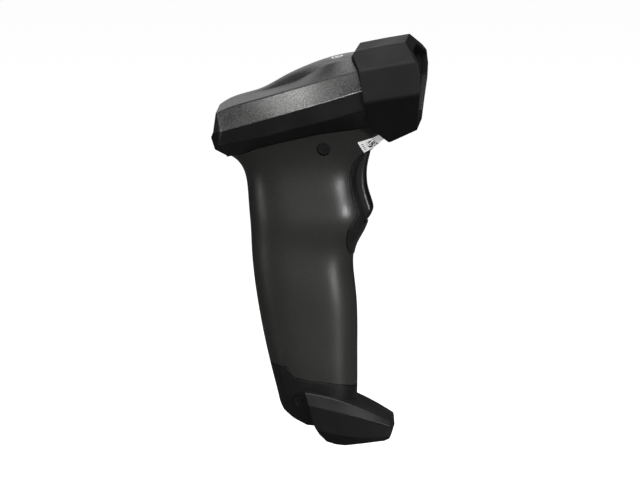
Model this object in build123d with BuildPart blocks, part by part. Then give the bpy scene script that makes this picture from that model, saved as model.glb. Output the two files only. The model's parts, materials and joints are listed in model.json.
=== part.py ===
"""A cordless pistol-grip barcode scanner, modelled as the assembly of its separate pieces.

Millimetres. +X points forward out of the scan window, +Z is up, +Y is the scanner's own left.
The origin lies under the middle of the scanner, level with the lowest point of its foot.
"""
import os
from math import copysign, cos, pi, radians, sin

from build123d import *

os.makedirs("parts", exist_ok=True)


# ---------------------------------------------------------------- walls, gaps and fits

WALL = 2.0              # moulded head and foot shells
GRIP_WALL = 2.3         # grip halves
BOOT_WALL = 2.6         # rubber nose boot
PARTING_GAP = 0.12      # shadow gap left at a parting line
RUNNING_FIT = 0.05      # radial clearance of a turning or sliding fit
SNUG_FIT = 0.02         # radial clearance of a round part that is only located
SHELL_FIT = 0.1         # gap between two moulded surfaces that nest in each other
PANEL_GAP = 0.3         # gap between the grip's trim and the rubber nose
FAR = 40                # reaches past the scanner's side from its mid-plane

SCREW_RADIUS = 1.1
SCREW_HEAD_RADIUS = 2.2
SCREW_HEAD_HEIGHT = 1.5
PILOT_CLEARANCE = 0.03  # a hole the screw bites into is drawn this much wider than its shank
SCREW_CLEARANCE = 0.2   # a hole the screw passes through is this much wider than its shank
BOSS_RADIUS = 3.0


# ---------------------------------------------------------------- working planes

def tilted_plane(x, z, degrees_up):
    """A floor plane at a point of the mid-plane, its own x axis rising forward."""
    rise = radians(degrees_up)
    return Plane(origin=(x, 0, z), x_dir=(cos(rise), 0, sin(rise)), z_dir=(-sin(rise), 0, cos(rise)))


def facing_plane(floor):
    """The upright plane across a floor plane: its x is +Y, its y is the floor's normal."""
    return Plane(origin=floor.origin, x_dir=(0, 1, 0), z_dir=floor.x_dir)


DECK = tilted_plane(-12, 147, 17.7)      # parallel to the parting line of the head
NECK = tilted_plane(-8, 138.8, 14.5)     # underside of the head, where the grip meets it
NOSE = tilted_plane(24, 160, 10)         # the nose looks 10 degrees upward
NOSE_FACE = facing_plane(NOSE)
NOSE_SIDE = Plane(origin=NOSE.origin, x_dir=NOSE.x_dir, z_dir=(0, -1, 0))
CELL = tilted_plane(-8.1, 30.1, 8)       # lower end of the battery cell, square to its axis

PARTING_HEIGHT = 5.0                     # parting plane of the head, above the deck


# ---------------------------------------------------------------- outlines of the nose

NOSE_SECTION = ((17, 20.2), (33, 12.9), (35, -2.1), (17, -23))
NOSE_SECTION_RADIUS = 2.5
NOSE_REAR = -1.5
NOSE_OUTLINE = (
    (NOSE_REAR, -14.7), (5, -23.1), (18.5, -19.1), (21, -10), (23.2, -2.5),
    (24.7, 4), (25.1, 10.1), (19.7, 20.5), (NOSE_REAR, 19.8),
)
LIP_OUTLINE = ((NOSE_REAR, 6), (-5.05, 6), (-5.05, 17.4), (-2.9, 19.7), (NOSE_REAR, 19.8))
LIP_PLAN = ((-5.05, -16.5), (-5.05, 16.5), (NOSE_REAR, 33), (NOSE_REAR, -33))

WINDOW_OUTLINE = ((15, 15), (28.5, 9), (29.3, -0.6), (17, -15))
WINDOW_THICKNESS = 1.5
WINDOW_SEAT = (13.0, 15.0)               # the wall of the nose frame the window is bonded behind
GASKET_THICKNESS = 0.6
GASKET_WIDTH = 2.5
SEAT_RIM = 2.8
SPIGOT_REAR = -6.0
SPIGOT_WALL = 1.8


# ---------------------------------------------------------------- stations of the head

# x, crown height, then (y, z) of: crown edge, ridge, widest line, lower crease, floor edge
HEAD_STATIONS = (
    (33, 180.2, (18.7, 179.9), (28.5, 175.0), (34.8, 166.8), (33.6, 157.4), (19.2, 147.2)),
    (24, 178.1, (17.7, 177.5), (28.1, 172.5), (34.0, 163.8), (32.8, 154.7), (19.0, 145.5)),
    (14, 175.9, (16.4, 174.8), (27.7, 169.7), (33.1, 160.6), (31.9, 151.8), (18.8, 143.7)),
    (4, 173.8, (14.8, 172.0), (27.2, 166.8), (32.2, 157.4), (31.0, 148.8), (18.5, 141.9)),
    (-6, 170.2, (11.5, 166.3), (26.3, 163.9), (30.6, 154.2), (29.4, 146.0), (17.8, 139.4)),
    (-15, 165.9, (8.5, 162.7), (25.0, 161.2), (28.8, 151.3), (27.6, 143.4), (17.0, 137.0)),
    (-25, 160.4, (6.0, 159.4), (23.0, 158.0), (26.2, 148.1), (25.0, 140.6), (15.5, 134.3)),
    (-36, 156.9, (6.0, 156.3), (20.0, 154.5), (22.6, 144.6), (21.6, 137.8), (13.0, 131.4)),
    (-42, 154.1, (6.0, 153.5), (18.3, 151.9), (20.6, 142.7), (19.6, 136.3), (11.0, 129.9)),
    (-48, 151.2, (6.0, 150.6), (16.5, 149.3), (18.5, 140.7), (17.5, 134.8), (9.0, 128.4)),
)
HEAD_EDGE_RADIUS = 1.0
HEAD_PLAN = (
    (40, -40), (-20, -40), (-36, -24.5), (-43, -19.5), (-47.2, -12.5),
    (-47.2, 12.5), (-43, 19.5), (-36, 24.5), (-20, 40), (40, 40),
)
HEAD_PLAN_RADIUS = 4.0
HEAD_REAR_OUTLINE = (
    (60, 120), (60, 200), (-43.4, 200), (-43.6, 156), (-44.2, 152.3), (-45.9, 141.8),
    (-47, 139.3), (-45, 134.5), (-40.1, 131.2), (-37, 120),
)
INDICATOR_PLAN = ((2.5, -7.5), (6.0, -10.5), (16, -11.5), (16, 11.5), (6.0, 10.5), (2.5, 7.5))
INDICATOR_THICKNESS = 1.1
INDICATOR_LEDGE = 1.4                    # width of the ledge the smoked lens rests on


# ---------------------------------------------------------------- stations of the grip

# rear (x, z), front (x, z), half width: each pair is one tilted section of the grip
GRIP_STATIONS = (
    ((-15.5, 4.0), (16.5, 0.0), 11.5),
    ((-17.9, 21.5), (17.2, 15.0), 13.8),
    ((-21.7, 36.8), (17.7, 31.0), 15.3),
    ((-25.2, 53.0), (17.7, 50.0), 15.8),
    ((-28.4, 72.7), (16.7, 71.0), 16.4),
    ((-30.0, 91.5), (17.4, 90.5), 16.6),
    ((-30.8, 104.0), (22.3, 107.0), 17.6),
    ((-31.6, 115.0), (19.0, 120.0), 16.4),
    ((-33.4, 123.5), (22.0, 130.0), 16.4),
    ((-40.5, 130.5), (33.0, 140.5), 18.2),
    ((-52.0, 138.0), (46.0, 151.0), 20.5),
)
SQUARENESS = 2.4        # exponent of the grip's rounded-oblong section
SECTION_POINTS = 16

GRIP_SIDE_OUTLINE = (
    (-30, 37.0), (-21.7, 36.8), (-12.7, 35.7), (-12, 33.8), (-10, 31.3), (-2, 29.5), (6, 28.7),
    (13, 27.5), (17.5, 26.5), (30, 24.5), (50, 100), (50, 150), (-40, 150), (-40, 126), (-50, 126),
)
TRIGGER_OPENING = (
    (34, 132.8), (23.0, 132.9), (21.6, 132.6), (19.1, 130.7), (17, 128.4), (15.6, 125.6), (15, 121.9),
    (15, 118.2), (15.9, 113.6), (17.5, 108.9), (18.7, 105.6), (17, 102), (14.7, 98.7), (13.8, 95.4),
    (13.6, 92.2), (14, 88.9), (15.2, 86.6), (16.3, 85.6), (34, 83.5),
)
LABEL_OUTLINE = ((18.8, 137.9), (21.4, 132.6), (30.2, 136.6), (36, 139), (36, 145), (25.7, 139.9))
LABEL_THICKNESS = 0.2
LABEL_GAP = 0.2                          # the adhesive under the label


# ---------------------------------------------------------------- trigger and switch

PIVOT = (13.3, 128.0)
PIN_RADIUS = 1.25
PIN_HALF_LENGTH = 9.1
HUB_RADIUS = 3.4
TRIGGER_HALF_WIDTH = 7.0
SLOT_HALF_WIDTH = 7.4
CHEEK_RADIUS = 2.6
BEZEL_PROUD = 0.35                       # the surround stands this far out of the grip
BEZEL_DEPTH = 3.9
FLANGE_REACH = 2.0                       # its flange reaches this far behind the grip's edge
TRIGGER_EDGE_RADIUS = 2.2
TRIGGER_FRONT = (
    (23.5, 132.3), (22.5, 127.9), (21.8, 124.0), (21.7, 120.0), (22.1, 116.0), (23.2, 112.0),
    (24.4, 108.2), (24.7, 106.0), (24.0, 103.9), (21.9, 101.6),
)
TRIGGER_REAR = (
    (19.6, 101.5), (18.4, 103.6), (16.6, 107.6), (14.6, 109.2), (11.5, 109.4), (11.5, 112.6),
    (14.2, 113.4), (13.4, 119.0), (10.2, 126.0), (10.8, 130.6), (14.0, 132.0),
)
SPRING_GAP_HALF_WIDTH = 2.4
SPRING_WIRE = 0.3
SPRING_RADIUS = 2.2

BOARD_THICKNESS = 1.2
TRIGGER_BOARD_Y = 4.4                    # the face of the trigger board that carries the switch
TRIGGER_BOARD_SIZE = (11, 24)
TRIGGER_BOARD_CENTRE = (3.5, 110)
TRIGGER_BOARD_HOLES = ((1, 101), (1, 119))
SWITCH_SIZE = (6, 6, 6)
SWITCH_CENTRE_Y = 1.4
SWITCH_HEIGHT = 111.0
SWITCH_FRONT = 9.0
PLUNGER_TIP = 11.3
PLUNGER_TAIL = 5.0                       # the plunger reaches back into the body to here
PLUNGER_RADIUS = 1.2
SLOT_OUTLINE = ((5, 100.6), (40, 100.6), (40, 132.9), (5, 132.9))


# ---------------------------------------------------------------- battery and lower contacts

CELL_RADIUS = 9.25
CELL_LENGTH = 67.0
CELL_CAP_RADIUS = 3.0
CELL_CAP_HEIGHT = 1.2
CELL_CLEARANCE = 0.15
SADDLE_HEIGHTS = (14, 36, 58)
SADDLE_THICKNESS = 1.6
CONTACT_PLATE_HEIGHTS = (68.3, 69.0)
CONTACT_PLATE_RADIUS = 5.0
CARRIER_RADIUS = 8.0
CARRIER_HEIGHTS = (69.0, 72.0)
CARRIER_RIM_RADIUS = 9.2
CARRIER_RIM_HEIGHT = 1.0
CELL_SPRING_RADIUS = 3.4
CELL_SPRING_WIRE = 0.35

CONTACT_PITCH = 3.0
CONTACT_COUNT = 4
CONTACT_X = 15.2                         # forward of the cell axis
CONTACT_BLOCK_SIZE = (8, 14)
CONTACT_BLOCK_HEIGHTS = (3.0, 11.0)
CONTACT_RIB_HEIGHTS = (5.0, 7.0)
CONTACT_FLANGE_SIZE = (8, 17)
CONTACT_FLANGE_THICKNESS = 1.0
CONNECTOR_HEIGHTS = (-7.0, -1.2)
CONTACT_PIN_RADIUS = 0.7
CONTACT_PAD_RADIUS = 1.1
CONTACT_PAD_THICKNESS = 0.3
POWER_LEAD_RADIUS = 0.9
THIN_LEAD_RADIUS = 0.7


# ---------------------------------------------------------------- bottom cap and foot

COVER_SEAM = (
    (-30, 36.7), (-21.7, 36.5), (-12.8, 35.4), (-12.1, 33.5), (-10.1, 31.0), (-2, 29.2), (6, 28.4),
    (13, 27.2), (17.5, 26.2), (24, 25.0),
)
COVER_HEEL = (
    (24, 24.0), (17.3, 19.4), (2.5, 8.6), (-4, 9.0), (-10.3, 12.0), (-14.9, 15.3), (-17.0, 18.6), (-30, 24),
)
COVER_WALL = 2.2
CELL_SEAT_RADIUS = 5.5
CELL_SEAT_HEIGHT = -6.4
SHELF_HEIGHTS = (-9.2, -7.05)
LEAD_PASSAGE_RADIUS = 2.0

# x, top of the mid-plane, then (y, z) of: upper ridge, lower ridge, lower side, bottom edge
FOOT_STATIONS = (
    (-7, 26.4, (18.0, 25.0), (20.0, 20.3), (17.5, 10.0), (11.0, 6.0)),
    (4, 24.8, (17.8, 23.3), (19.6, 17.9), (17.8, 7.0), (11.5, -0.5)),
    (17, 20.3, (16.0, 19.1), (18.2, 14.6), (16.6, 4.6), (11.5, -0.5)),
    (36, 10.6, (10.4, 9.6), (11.8, 8.6), (11.6, 4.6), (9.0, 1.6)),
)
FOOT_OUTLINE = (
    (-5.2, 27.5), (-4.5, 24.6), (-3.0, 20.4), (-1.8, 14.7), (-0.3, 9.5), (1.8, 5.5), (4.9, 1.9),
    (8.5, 0.6), (13, 0), (30.6, 1.912), (33.0, 3.2), (34.0, 5.4), (33.4, 11.9), (33.2, 27.5),
)
FOOT_SOLE = tilted_plane(13, 0, 6.2)     # the flat of the foot's underside
FOOT_SCREW_CENTRES = ((6.5, 7.5), (6.5, -7.5))
FOOT_SCREW_SEAT = 4.0
FOOT_SCREW_LENGTH = 13.5
FOOT_BOARD_HEIGHT = 3.6                  # above the sole
FOOT_BOARD_SIZE = (17, 16)
FOOT_BOARD_CENTRE = (9.5, 0)
CHARGING_CONTACT_CENTRES = ((15.5, -6), (15.5, 0), (15.5, 6))
CHARGING_CONTACT_RADIUS = 1.6
CHARGING_CONTACT_RECESS = 0.35
FOOT_PAD_SIZE = (9, 15)
FOOT_PAD_CENTRE = (6, 0)
FOOT_PAD_HEIGHT = 0.9                    # the pad fills the sole up to this height

LATCH = (-1.2, -9.5)                     # x and height of the latch screw in the cell frame
LATCH_SEAT_Y = -11.6
LATCH_HEAD_RADIUS = 1.9
LATCH_HEAD_HEIGHT = 1.0
LATCH_POST_Y = (-8.3, -4.5)
NOTCH_WIDTH = 2.6
GRIP_SCREW = (3.7, 134.9)                # x and z of the upper grip screw
GRIP_SCREW_SEAT_Y = -12.5
GRIP_SCREW_RADIUS = 1.3
GRIP_SCREW_HEAD_RADIUS = 2.7
GRIP_SCREW_RECESS_RADIUS = 3.1


# ---------------------------------------------------------------- electronics in the head

MAIN_BOARD_OUTLINE = (
    (-26, -14), (-24, -15.5), (-8, -21), (23, -22.5), (23, 22.5), (-8, 21), (-24, 15.5), (-26, 14),
)
MAIN_BOARD_HEIGHTS = (-0.8, 0.8)
# size, height and centre of the blocks soldered to the top and to the underside of the main board
CHIPS = (((14, 14), 1.4, (4, -6)), ((9, 9), 1.0, (-9, -9)))
STATUS_LEDS = (((2, 3), 1.0, (20.5, -10)), ((2, 3), 1.0, (20.5, 10)))
RADIO_SHIELD = ((16, 11), 2.4, (4, 11.5))
TOP_CONNECTOR = ((4, 16), 2.0, (17, 0))
LEAD_CONNECTORS = (((5, 7), 3.0, (1, -1)), ((4, 6), 3.0, (-6, 2)))
BEEPER_CENTRE = (-11, 8.5)
BEEPER_RADIUS = 5.5
BEEPER_HEIGHT = 5.2
BEEPER_PORT_RADIUS = 1.0
RIBBON_SIZE = (12, 0.3)
COVER_SCREW_CENTRES = ((-20, 10.5), (-20, -10.5), (16, 17), (16, -17))
COVER_SCREW_SEAT = -6.0                  # bearing face of the cover screws, above the deck
COVER_SCREW_LENGTH = 15.0
NECK_TUBE_CENTRE = (-7, 0)
NECK_TUBE_SIZE = (22, 22)
NECK_TUBE_WALL = 2.0
NECK_TUBE_DEPTH = 5.6
NECK_FLANGE_THICKNESS = 2.0
NECK_FLANGE_REACH = 1.6
NECK_WEB_HEIGHTS = (-3.4, -0.3)

ENGINE_SIZE = (24, 14)
ENGINE_CENTRE = (0, 2)
ENGINE_DEPTHS = (-8, 5)
SENSOR_BOARD_SIZE = (26, 14)
SENSOR_SOCKET_SIZE = (14, 2)
SENSOR_SOCKET_DEPTH = 2.4                # the socket reaches this far behind the engine block
LENS_CENTRE = (-4, 2)
LENS_BARREL = (4.2, 3.2)                 # radius and length
LENS_BORE_RADIUS = 2.8
AIMER_CENTRE = (7, 2)
AIMER_BARREL = (2.6, 2.6)
AIMER_BORE_RADIUS = 1.2
BRACKET_HEIGHTS = (-6.2, -5.0)
BRACKET_LENGTH = (-12.4, 4.8)
BRACKET_WIDTH = 40
BRACKET_SCREW_CENTRES = ((-9.5, 16), (-9.5, -16))
ENGINE_SCREW_CENTRES = ((-2, 8), (-2, -8))
LIGHT_BOARD_SIZE = (34, 7)
LIGHT_CENTRE = (0, -10.5)
LIGHT_Y = (-14, -5, 5, 14)
LIGHT_LENS_HEIGHTS = (7.2, 9.6)
LIGHT_LENS_DOME_RADIUS = 2.8
LIGHT_LENS_FEET_Y = (-9.5, 0, 9.5)
LED_SIZE = (3, 3)
LED_HEIGHT = 0.8


# ---------------------------------------------------------------- shape helpers

def prism(plane, outline, start, end, inset=0.0, radius=0.0):
    """A closed outline on a plane, made solid between two heights above that plane."""
    with BuildPart() as solid:
        with BuildSketch(plane.offset(start)) as drawing:
            with BuildLine():
                Polyline(*outline, close=True)
            make_face()
            if radius:
                fillet(drawing.vertices(), radius)
            if inset:
                offset(amount=-inset, kind=Kind.INTERSECTION)
        extrude(amount=end - start)
    return solid.part


def point_plane(plane, centre, height=0.0, flip=False):
    """A plane over one point of another plane, facing the same way or, flipped, back at it."""
    normal = -plane.z_dir if flip else plane.z_dir
    origin = plane.from_local_coords((centre[0], centre[1], height))
    return Plane(origin=origin, x_dir=plane.x_dir, z_dir=normal)


def side_prism(outline, half_width, inset=0.0, radius=0.0):
    """An outline in X and Z, made solid to both sides of the mid-plane."""
    return prism(Plane.XZ, outline, -half_width, half_width, inset, radius)


def block(plane, size, start, end, centre=(0, 0), radius=0.0):
    """A rectangular block standing between two heights above a plane."""
    with BuildPart() as solid:
        with BuildSketch(plane.offset(start)):
            with Locations(centre):
                if radius:
                    RectangleRounded(*size, radius)
                else:
                    Rectangle(*size)
        extrude(amount=end - start)
    return solid.part


def rods(plane, radius, start, end, centres=((0, 0),)):
    """Round rods standing between two heights above a plane."""
    with BuildPart() as solid:
        with BuildSketch(plane.offset(start)):
            with Locations(*centres):
                Circle(radius)
        extrude(amount=end - start)
    return solid.part


def screw(plane, length, radius=SCREW_RADIUS, head_radius=SCREW_HEAD_RADIUS, head_height=SCREW_HEAD_HEIGHT):
    """A cross-recess screw: bearing face on the plane, shank below it, head above it."""
    with BuildPart() as fastener:
        with BuildSketch(plane.offset(-length)):
            Circle(radius)
        extrude(amount=length)
        with BuildSketch(plane):
            Circle(head_radius)
        extrude(amount=head_height)
        with BuildSketch(plane.offset(head_height)):
            Rectangle(head_radius * 1.2, head_radius * 0.3)
            Rectangle(head_radius * 0.3, head_radius * 1.2)
        extrude(amount=-head_height * 0.6, mode=Mode.SUBTRACT)
    return fastener.part


def coil(plane, radius, wire, height, turns):
    """A round-wire coil winding up from a plane around its normal."""
    with BuildPart() as spring:
        with BuildLine() as path:
            Helix(pitch=height / turns, height=height, radius=radius, center=plane.origin,
                  direction=plane.z_dir)
        with BuildSketch(Plane(origin=path.line @ 0, z_dir=path.line % 0)):
            Circle(wire)
        sweep(path=path.line)
    return spring.part


def lead(points, radius):
    """A round cable running smoothly through the given points."""
    with BuildPart() as cable:
        with BuildLine() as path:
            Spline(*points)
        with BuildSketch(Plane(origin=path.line @ 0, z_dir=path.line % 0)):
            Circle(radius)
        sweep(path=path.line)
    return cable.part


def mirrored(section):
    """A closed symmetric outline from the points of its +x side, given from top to bottom."""
    return tuple(section) + tuple((-x, y) for x, y in reversed(section))


def oblong(half_length, half_width):
    """Points around the grip's section: a superellipse."""
    points = []
    for index in range(SECTION_POINTS):
        angle = 2 * pi * index / SECTION_POINTS
        along = copysign(abs(cos(angle)) ** (2 / SQUARENESS), cos(angle))
        across = copysign(abs(sin(angle)) ** (2 / SQUARENESS), sin(angle))
        points.append((half_length * along, half_width * across))
    return points


# ---------------------------------------------------------------- outer forms of the housings

def grip_form(inset=0.0):
    """The whole pistol grip from heel to throat, drawn in by a distance."""
    with BuildPart() as form:
        for (rear_x, rear_z), (front_x, front_z), half_width in GRIP_STATIONS:
            run = Vector(front_x - rear_x, 0, front_z - rear_z)
            centre = ((rear_x + front_x) / 2, 0, (rear_z + front_z) / 2)
            normal = run.normalized().cross(Vector(0, 1, 0))
            with BuildSketch(Plane(origin=centre, x_dir=run.normalized(), z_dir=normal)):
                with BuildLine():
                    Spline(*oblong(run.length / 2 - inset, half_width - inset), periodic=True)
                make_face()
        loft()
    return form.part


def head_form(inset=0.0):
    """The head behind the nose: a loft through its stations, its rear end rounded in plan."""
    with BuildPart() as form:
        for x, crown, *corners in HEAD_STATIONS:
            widest_y, floor_z = corners[2][0], corners[-1][1]
            middle, half_height = (crown + floor_z) / 2, (crown - floor_z) / 2
            narrow = (widest_y - inset) / widest_y
            lower = (half_height - inset) / half_height
            right = [(y * narrow, middle + (z - middle) * lower) for y, z in corners]
            outline = mirrored(right)
            crown_edge = right[0][1]
            with BuildSketch(Plane(origin=(x, 0, 0), x_dir=(0, 1, 0), z_dir=(1, 0, 0))) as station:
                with BuildLine():
                    Polyline(*outline)
                    ThreePointArc(outline[-1], (0, middle + half_height * lower), outline[0])
                make_face()
                below_crown = station.vertices().filter_by(lambda corner: corner.Y < crown_edge - 0.7)
                fillet(below_crown, HEAD_EDGE_RADIUS)
        loft()
        add(prism(Plane.XY, HEAD_PLAN, 100, 200, inset, HEAD_PLAN_RADIUS), mode=Mode.INTERSECT)
        add(side_prism(HEAD_REAR_OUTLINE, FAR, inset), mode=Mode.INTERSECT)
    return form.part


def nose_form(inset=0.0):
    """The eight-sided nose, drawn in by a distance."""
    with BuildPart() as form:
        add(prism(NOSE_FACE, mirrored(NOSE_SECTION), -10, 30, inset, NOSE_SECTION_RADIUS))
        add(prism(NOSE_SIDE, NOSE_OUTLINE, -FAR, FAR, inset), mode=Mode.INTERSECT)
    return form.part


def lip_form():
    """The bevelled upper lip of the nose boot, lying over the cover's front edge."""
    with BuildPart() as form:
        add(prism(NOSE_FACE, mirrored(NOSE_SECTION), -10, 30, 0.0, NOSE_SECTION_RADIUS))
        add(prism(NOSE_SIDE, LIP_OUTLINE, -FAR, FAR), mode=Mode.INTERSECT)
        add(prism(NOSE, LIP_PLAN, 0, 30), mode=Mode.INTERSECT)
        add(head_form(-SHELL_FIT), mode=Mode.SUBTRACT)
    return form.part


def foot_form(inset=0.0):
    """The faceted foot, drawn in by a distance."""
    with BuildPart() as form:
        for x, top, *corners in FOOT_STATIONS:
            widest_y, floor_z = corners[1][0], corners[-1][1]
            middle, half_height = (top + floor_z) / 2, (top - floor_z) / 2
            narrow = (widest_y - inset) / widest_y
            lower = (half_height - inset) / half_height
            right = [(0, middle + half_height * lower)]
            right += [(y * narrow, middle + (z - middle) * lower) for y, z in corners]
            left = [(-y, z) for y, z in reversed(right[1:])]
            with BuildSketch(Plane(origin=(x, 0, 0), x_dir=(0, 1, 0), z_dir=(1, 0, 0))) as station:
                with BuildLine():
                    Polyline(*right, *left, close=True)
                make_face()
                fillet(station.vertices().filter_by(lambda corner: abs(corner.X) > 1), 0.6)
        loft()
        add(side_prism(FOOT_OUTLINE, FAR, inset), mode=Mode.INTERSECT)
    return form.part


def cover_form(inset=0.0, raised=0.0):
    """The bottom cap: the lower end of the grip's form, its seam raised by a distance."""
    seam = tuple((x, z + raised) for x, z in COVER_SEAM)
    with BuildPart() as form:
        add(grip_form(inset))
        add(side_prism(seam + COVER_HEEL, FAR, inset), mode=Mode.INTERSECT)
    return form.part


GRIP_OUTER = grip_form()
GRIP_MIDDLE = grip_form(GRIP_WALL / 2)
GRIP_INNER = grip_form(GRIP_WALL)
HEAD_OUTER = head_form()
HEAD_MIDDLE = head_form(WALL / 2)
HEAD_INNER = head_form(WALL)
HEAD_CLEARANCE = head_form(-2.5 * SHELL_FIT)
NOSE_CLEARANCE = nose_form(-PANEL_GAP)
COVER_MIDDLE = cover_form(COVER_WALL / 2)
FOOT_MIDDLE = foot_form(WALL / 2)

ABOVE_PARTING = block(DECK, (160, 120), PARTING_HEIGHT + PARTING_GAP / 2, 80)
BELOW_PARTING = block(DECK, (160, 120), -60, PARTING_HEIGHT - PARTING_GAP / 2)
AHEAD_OF_HEAD = block(NOSE_FACE, (140, 140), NOSE_REAR - PARTING_GAP, 60)
HEAD_SHELL = HEAD_OUTER - AHEAD_OF_HEAD - HEAD_INNER


# ---------------------------------------------------------------- head shells

indicator_area = prism(Plane.XY, INDICATOR_PLAN, 150, 200)
indicator_floor = head_form(INDICATOR_THICKNESS + SHELL_FIT)
indicator_recess = prism(Plane.XY, INDICATOR_PLAN, 150, 200, -SHELL_FIT) - indicator_floor
cover_bosses = rods(DECK, BOSS_RADIUS, MAIN_BOARD_HEIGHTS[1], 30, COVER_SCREW_CENTRES) & HEAD_MIDDLE

with BuildPart() as top_cover:
    add(HEAD_SHELL)
    add(ABOVE_PARTING, mode=Mode.INTERSECT)
    add(cover_bosses)
    add(rods(DECK, SCREW_RADIUS + PILOT_CLEARANCE, 0, 10, COVER_SCREW_CENTRES), mode=Mode.SUBTRACT)
    add(indicator_recess, mode=Mode.SUBTRACT)
    add(prism(Plane.XY, INDICATOR_PLAN, 150, 200, INDICATOR_LEDGE), mode=Mode.SUBTRACT)

with BuildPart() as indicator_lens:
    add(HEAD_OUTER)
    add(head_form(INDICATOR_THICKNESS), mode=Mode.SUBTRACT)
    add(indicator_area, mode=Mode.INTERSECT)

base_posts = rods(DECK, BOSS_RADIUS, -25, MAIN_BOARD_HEIGHTS[0], COVER_SCREW_CENTRES)
bracket_posts = rods(NOSE, BOSS_RADIUS, -30, BRACKET_HEIGHTS[0], BRACKET_SCREW_CENTRES)
post_group = (base_posts + bracket_posts) & HEAD_MIDDLE
neck_inner_size = tuple(side - 2 * NECK_TUBE_WALL for side in NECK_TUBE_SIZE)
neck_flange_size = tuple(side + 2 * NECK_FLANGE_REACH for side in NECK_TUBE_SIZE)

with BuildPart() as head_base:
    add(HEAD_SHELL)
    add(BELOW_PARTING, mode=Mode.INTERSECT)
    add(post_group)
    add(block(NECK, NECK_TUBE_SIZE, -NECK_TUBE_DEPTH, WALL / 2, NECK_TUBE_CENTRE, 4))
    add(block(NECK, neck_flange_size, -NECK_TUBE_DEPTH, NECK_FLANGE_THICKNESS - NECK_TUBE_DEPTH,
              NECK_TUBE_CENTRE, 5))
    add(block(NECK, neck_inner_size, -10, 4, NECK_TUBE_CENTRE, 3), mode=Mode.SUBTRACT)
    add(rods(DECK, SCREW_RADIUS + SCREW_CLEARANCE, -30, 0, COVER_SCREW_CENTRES), mode=Mode.SUBTRACT)
    add(rods(DECK, SCREW_HEAD_RADIUS + SCREW_CLEARANCE, -30, COVER_SCREW_SEAT, COVER_SCREW_CENTRES),
        mode=Mode.SUBTRACT)
    add(rods(NOSE, SCREW_RADIUS + PILOT_CLEARANCE, -12, 0, BRACKET_SCREW_CENTRES), mode=Mode.SUBTRACT)

with BuildPart() as cover_screws:
    for centre in COVER_SCREW_CENTRES:
        add(screw(point_plane(DECK, centre, COVER_SCREW_SEAT, flip=True), COVER_SCREW_LENGTH))


# ---------------------------------------------------------------- nose and window

hood_opening = prism(NOSE_FACE, mirrored(WINDOW_OUTLINE), WINDOW_SEAT[1], 40, -0.4, 3)
view_opening = prism(NOSE_FACE, mirrored(WINDOW_OUTLINE), 5, 20, SEAT_RIM, 3)
boot_rear_opening = HEAD_INNER & block(NOSE_FACE, (100, 100), -6, BOOT_WALL + 1)
frame_inset = BOOT_WALL + PARTING_GAP
spigot = head_form(WALL + SHELL_FIT) & block(NOSE_FACE, (100, 100), SPIGOT_REAR, frame_inset)
spigot_bore = head_form(WALL + SHELL_FIT + SPIGOT_WALL) & block(NOSE_FACE, (100, 100), -20, frame_inset + 3)
seat_wall = nose_form(frame_inset + WALL / 2) & block(NOSE_FACE, (100, 100), *WINDOW_SEAT)

with BuildPart() as nose_boot:
    add(nose_form())
    add(nose_form(BOOT_WALL), mode=Mode.SUBTRACT)
    add(boot_rear_opening, mode=Mode.SUBTRACT)
    add(hood_opening, mode=Mode.SUBTRACT)
    add(lip_form())

with BuildPart() as nose_frame:
    add(nose_form(frame_inset))
    add(nose_form(frame_inset + WALL), mode=Mode.SUBTRACT)
    add(spigot)
    add(spigot_bore, mode=Mode.SUBTRACT)
    add(seat_wall)
    add(hood_opening, mode=Mode.SUBTRACT)
    add(view_opening, mode=Mode.SUBTRACT)

gasket_front = WINDOW_SEAT[0]
window_front = gasket_front - GASKET_THICKNESS

with BuildPart() as window_gasket:
    add(prism(NOSE_FACE, mirrored(WINDOW_OUTLINE), window_front, gasket_front, 0.1, 3))
    add(prism(NOSE_FACE, mirrored(WINDOW_OUTLINE), window_front, gasket_front, GASKET_WIDTH, 3),
        mode=Mode.SUBTRACT)

with BuildPart() as scan_window:
    add(prism(NOSE_FACE, mirrored(WINDOW_OUTLINE), window_front - WINDOW_THICKNESS, window_front, 0.0, 3))


# ---------------------------------------------------------------- imaging engine

with BuildPart() as engine_bracket:
    bracket_length = BRACKET_LENGTH[1] - BRACKET_LENGTH[0]
    bracket_centre = (sum(BRACKET_LENGTH) / 2, 0)
    add(block(NOSE, (bracket_length, BRACKET_WIDTH), *BRACKET_HEIGHTS, bracket_centre, 2))
    add(block(NOSE_FACE, (LIGHT_BOARD_SIZE[0], 8), BRACKET_LENGTH[1] - 1.2, BRACKET_LENGTH[1], (0, -9.5)))
    add(rods(NOSE, SCREW_RADIUS + SCREW_CLEARANCE, -9, -4, BRACKET_SCREW_CENTRES + ENGINE_SCREW_CENTRES),
        mode=Mode.SUBTRACT)

with BuildPart() as bracket_screws:
    for centre in BRACKET_SCREW_CENTRES:
        add(screw(point_plane(NOSE, centre, BRACKET_HEIGHTS[1]), 6))

with BuildPart() as engine_block:
    add(block(NOSE_FACE, ENGINE_SIZE, *ENGINE_DEPTHS, ENGINE_CENTRE, 1))
    add(rods(NOSE, SCREW_RADIUS + PILOT_CLEARANCE, -6, 0, ENGINE_SCREW_CENTRES), mode=Mode.SUBTRACT)

with BuildPart() as engine_screws:
    for centre in ENGINE_SCREW_CENTRES:
        add(screw(point_plane(NOSE, centre, BRACKET_HEIGHTS[0], flip=True), 5, head_height=1.2))

with BuildPart() as image_sensor_board:
    engine_rear = ENGINE_DEPTHS[0]
    add(block(NOSE_FACE, SENSOR_BOARD_SIZE, engine_rear - BOARD_THICKNESS, engine_rear, ENGINE_CENTRE))
    add(block(NOSE_FACE, SENSOR_SOCKET_SIZE, engine_rear - SENSOR_SOCKET_DEPTH, engine_rear - 1, (0, -1)))


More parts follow.
